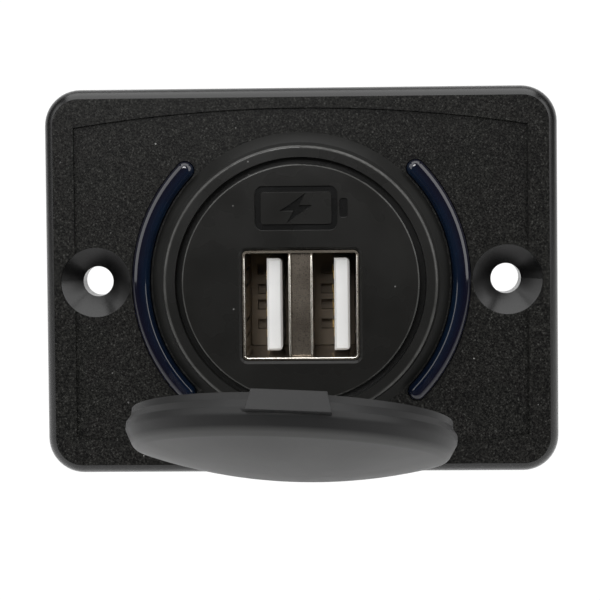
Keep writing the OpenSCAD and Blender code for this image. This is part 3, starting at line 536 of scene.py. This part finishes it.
def grown(outline, by):
    """A clockwise outline moved outwards: each corner goes along the sum of its two sides'
    normals, as far as keeps both sides at the distance by."""
    ahead = np.roll(outline, -1, axis=0) - outline
    normal = np.stack([-ahead[:, 1], ahead[:, 0]], -1)
    normal /= np.linalg.norm(normal, axis=1, keepdims=True)
    both = normal + np.roll(normal, 1, axis=0)
    return outline + by * both * 2 / (both ** 2).sum(axis=1, keepdims=True)


def stacked(outline, levels):
    """The outline at each level's Y, grown by that level's amount: one row for each level."""
    return np.stack([np.insert(grown(outline, by), 1, y, axis=1) for y, by in levels])


def sunk_sign(source, face, depth, centre_z):
    """A merged copy of source with the sign cut into it: the battery's case is the outline
    between two round-cornered rectangles, its pole and the bolt are filled outlines. Each
    cut flares by flare at the face, and overshoots it."""
    flare, over = 0.00007, 0.0001
    levels = [(face - over, flare + over), (face + flare, 0.0), (face + depth, 0.0)]
    inward = [(y, -by) for y, by in levels[::-1]]
    place = np.array((-0.00045, centre_z))
    case = rounded_path(0.0049, 0.0026, 0.0009) + place
    case_in = rounded_path(0.00425, 0.00195, 0.0004) + place
    pole = rounded_path(0.00045, 0.0011, 0.00025) + (0.0052, centre_z)
    bolt = np.array([(1.0, 1.65), (-1.85, -0.3), (-0.3, -0.3), (-1.0, -1.65), (1.85, 0.3),
                     (0.3, 0.3)])[::-1] / 1000 + place
    hollow = np.concatenate([stacked(case, levels), stacked(case_in, inward)])
    cutters = [grid_mesh("case", hollow, close_u=True, close_v=True),
               grid_mesh("pole", stacked(pole, levels), close_v=True, capped=True),
               grid_mesh("bolt", stacked(bolt, levels), close_v=True, capped=True)]
    piece = put("front_disc_signed", merged_copy(source, "front_disc_signed", 1e-7),
                SMOOTH_BLACK)
    for mesh in cutters:
        tool = put("cutter", facing_out(mesh), SMOOTH_BLACK)
        cut = piece.modifiers.new("sign", "BOOLEAN")
        cut.operation, cut.solver, cut.object = "DIFFERENCE", "EXACT", tool
        bpy.context.view_layer.update()
        shaped = bpy.data.meshes.new_from_object(
            piece.evaluated_get(bpy.context.evaluated_depsgraph_get()))
        piece.modifiers.clear()
        piece.data = shaped
        bpy.data.objects.remove(tool)
    piece.data.shade_smooth()
    piece.data.set_sharp_from_angle(angle=math.radians(25))
    even = piece.modifiers.new("even", "WEIGHTED_NORMAL")
    even.keep_sharp, even.weight = True, 100
    return piece


# The sign's sunk floor is painted blacker than the disc's face, as painted shade in the
# recess: it lies past y = -7.86 mm and above z = 5.5 mm.
tree = SMOOTH_BLACK.node_tree
axes = add(tree, "ShaderNodeSeparateXYZ", {0: place_on(tree)}).outputs
sunk = reckon(tree, "MULTIPLY", spread(tree, axes["Y"], 0.0, 1.0, -0.00788, -0.00784),
              spread(tree, axes["Z"], 0.0, 1.0, 0.0054, 0.0055))
overlay(tree, tree.nodes["Principled BSDF"], sunk, (0.0015, 0.0015, 0.0014, 1))
disc = sunk_sign(nodes["front_disc"], face=-0.008, depth=0.0003, centre_z=0.0089)
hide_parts("front_disc")
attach(disc, "socket")


# Twin port. A folded nickel-plated steel shell round both ports, a folded channel between
# them, a brown insulator behind, two white tongues and four gold-plated strips on each.
dress(plated("nickel_plate", (0.5, 0.45, 0.38), (0.36, 0.31, 0.25), 0.22, (1.0, 0.12, 1.0)),
      "usb_shell")
# The channel's plate is a darker copy of the shell's, as painted shade in its recess.
dress(plated("nickel_channel_shaded", (0.3, 0.26, 0.215), (0.2, 0.17, 0.14), 0.27, (1.0, 0.12, 1.0)),
      "usb_partition")


def rolled_edge(name, path, radius):
    """A round bead along an open path (x, y, z): a circle of the given radius lies across the
    path at each point, in the plane of Y and of the path's own normal in XZ, and shrinks to
    a round end over the first and last four steps."""
    ahead = np.gradient(path, axis=0)
    ahead /= np.linalg.norm(ahead, axis=1, keepdims=True)
    out = np.cross(ahead, (0, 1, 0))[:, None]
    angle = np.linspace(0, 2 * math.pi, 12, endpoint=False)[None, :, None]
    ring = out * np.cos(angle) + np.array((0, 1, 0)) * np.sin(angle)
    step = np.arange(len(path))
    end = np.clip(np.minimum(step, step[::-1]) / 4, 0, 1)
    thick = radius * np.sqrt(np.clip(1 - (1 - end) ** 2, 0.0004, 1))
    points = path[:, None] + ring * thick[:, None, None]
    return facing_out(grid_mesh(name, points, close_v=True, capped=True))


# The sheet's cut edges are tumbled round, so that they catch the light as thin bright lines:
# the shell's runs down, across and up round both ports, the channel's two run up the middle.
# The beads' plate is paler than the shell's, as a painted highlight on the bright lines.
BRIGHT = plated("tumbled_edge_highlight", (0.86, 0.83, 0.76), (0.7, 0.66, 0.58), 0.16)
edge_y, port_z, shell_half, channel_half = -0.0076, -0.0027, 0.00674, 0.0013
drop = np.linspace(0.0061, -0.0059, 31)
right = np.stack([np.full_like(drop, shell_half), drop], -1)
corners = rounded_path(shell_half, 0.00634, 0.00038)[8:24]
outline = np.insert(np.vstack([right, corners, -right]), 1, edge_y, axis=1)
beads = [("port_rim", outline + (0, 0, port_z), 0.0001)]
upright = np.linspace(-0.0062, 0.0062, 33)[:, None] * (0, 0, 1)
for side, x in (("left", -channel_half), ("right", channel_half)):
    beads.append((f"channel_edge_{side}", upright + (x, edge_y, port_z), 0.000155))
for name, path, radius in beads:
    bead = put(name, rolled_edge(name, path, radius), BRIGHT)
    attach(bead, "socket")
dress(satin("brown_insulator", (0.2, 0.155, 0.11), (0.25, 0.2, 0.145), 0.45, 0.000003,
            dust=0.0), "usb_insulator")
dress(satin("white_tongue", (0.78, 0.78, 0.77), (0.82, 0.82, 0.81), 0.38, 0.0000015, dust=0.0),
      "tongue_left", "tongue_right")
dress(BRASS, "contacts_left", "contacts_right")


# Cap ring, hinge pin and dust cap. The ring is hard black plastic, the pin is steel and the
# cap is soft matt rubber, greyer than the plastic, with a painted sheen on its dome.
dress(satin("ring_black", (0.0085, 0.0085, 0.0079), (0.0115, 0.0115, 0.0107), 0.36, 0.000004,
            grain=0.2, level=0.2), "cap_ring")
dress(plated("pin_steel", (0.6, 0.6, 0.6), (0.5, 0.5, 0.5), 0.3), "hinge_pin")
RUBBER = satin("matt_rubber", (0.011, 0.011, 0.0112), (0.015, 0.015, 0.015), 0.42, 0.000004,
               grain=0.2, clouds=70.0, dust=0.15, level=0.3)

# The open cap's own directions come from its joint: forth runs from the hinge pin to the
# tab, and out is where the dome faces. Lip is the middle of the cap's open edge, and brow
# that of the dome's sphere.
joint = frame["joints"][0]
hinge, pin = np.array(joint["pos_m"]), np.array(joint["axis"])
opening = math.radians(-joint["range_deg"][0])
front = np.array((0.0, -1.0, 0.0))
above = np.cross(front, pin)
forth = math.cos(opening) * above + math.sin(opening) * front
out = math.cos(opening) * front - math.sin(opening) * above
lip = hinge + 0.0196 * forth - 0.0003 * out
brow = lip - 0.05205 * out


def soft_cap(source):
    """A merged copy of the cap whose creases are rounded, as the soft rubber's are. An edge is
    a crease where both its ends lie at the same height along out and distance from the axis.
    Each crease has its height, its distance and its share of the full rounding."""
    mesh = merged_copy(source, "soft_cap", 1e-6, flat=0.5)
    points = np.empty(3 * len(mesh.vertices))
    mesh.vertices.foreach_get("co", points)
    points = points.reshape(-1, 3) - lip
    ends = np.empty(2 * len(mesh.edges), int)
    mesh.edges.foreach_get("vertices", ends)
    ends = ends.reshape(-1, 2)
    height = points @ out
    radius = np.linalg.norm(points - height[:, None] * out, axis=1)
    share = np.zeros(len(mesh.edges))
    for level, reach, part in ((0.004, 0.01675, 1.0), (0.0022, 0.0177, 0.45),
                               (0.0015, 0.0177, 0.2), (0.0007, 0.0172, 0.15)):
        at = (abs(height - level) < 0.00004) & (abs(radius - reach) < 0.00006)
        share[at[ends].all(axis=1)] = part
    tab = (points @ forth > 0.0188) & (height > -0.0001) & (height < 0.0021)
    share[tab[ends].all(axis=1)] = 0.12
    weight = mesh.attributes.new("bevel_weight_edge", "FLOAT", "EDGE")
    weight.data.foreach_set("value", share)
    mesh.shade_smooth()
    mesh.set_sharp_from_angle(angle=math.radians(40))
    piece = put("soft_cap", mesh, RUBBER)
    round_off = piece.modifiers.new("round_off", "BEVEL")
    round_off.limit_method, round_off.width, round_off.segments = "WEIGHT", 0.0016, 5
    round_off.loop_slide = False
    even = piece.modifiers.new("even", "WEIGHTED_NORMAL")
    even.keep_sharp, even.weight = True, 80
    return piece


cap = soft_cap(nodes["dust_cap"])
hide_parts("dust_cap")
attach(cap, "cap")


def away_from(tree, centre):
    """How far a point lies from centre."""
    return add(tree, "ShaderNodeVectorMath", {0: place_on(tree), 1: tuple(centre)},
               operation="DISTANCE").outputs["Value"]


# A painted sheen covers the dome's outside: what lies about as far from brow as its radius of
# 58.5 mm. Beside the hinge, where the dome faces down, it is painted darker, as painted shade.
tree = RUBBER.node_tree
on_dome = spread(tree, away_from(tree, brow), 0.0, 1.0, 0.0578, 0.0583)
painted_light_patch = away_from(tree, lip - 0.014 * forth + 0.006 * out)
painted_sheen = blend(tree, spread(tree, painted_light_patch, 0.0, 1.0, 0.003, 0.023), (0.026, 0.026, 0.026, 1),
              (0.066, 0.066, 0.065, 1))
overlay(tree, tree.nodes["Principled BSDF"], on_dome, painted_sheen)


# Fixing nut. A fluted ring of the same black nylon, screwed on to the barrel from behind the
# panel, which it clamps against the plate.
dress(SATIN_BLACK, "fixing_nut")


# Main board with its coil, capacitors, converter and diode, all inside the barrel. Green
# solder mask, a grey ferrite drum wound with copper, blue sleeves and black resin.
dress(satin("green_solder_mask", (0.01, 0.09, 0.04), (0.014, 0.12, 0.05), 0.3, 0.000002,
            dust=0.0), "main_board")
dress(satin("ferrite", (0.035, 0.035, 0.037), (0.05, 0.05, 0.052), 0.6, 0.000008, dust=0.0),
      "coil_core")
dress(plated("enamelled_copper", (0.6, 0.22, 0.08), (0.5, 0.16, 0.05), 0.25), "coil_winding")
dress(satin("capacitor_sleeve", (0.015, 0.035, 0.09), (0.02, 0.045, 0.11), 0.25, 0.000001,
            dust=0.0), "input_capacitor", "output_capacitor")
dress(satin("chip_resin", (0.018, 0.018, 0.019), (0.024, 0.024, 0.025), 0.5, 0.000005,
            dust=0.0), "converter_chip", "rectifier_diode")


# Rear cover, a black moulding pushed into the barrel's end, and the two tinned brass blades
# that stand out of it.
dress(SATIN_BLACK, "rear_cover")
dress(plated("tinned_brass", (0.7, 0.6, 0.4), (0.6, 0.5, 0.33), 0.26), "terminal_positive",
      "terminal_negative")


scene.view_settings.view_transform = "Standard"
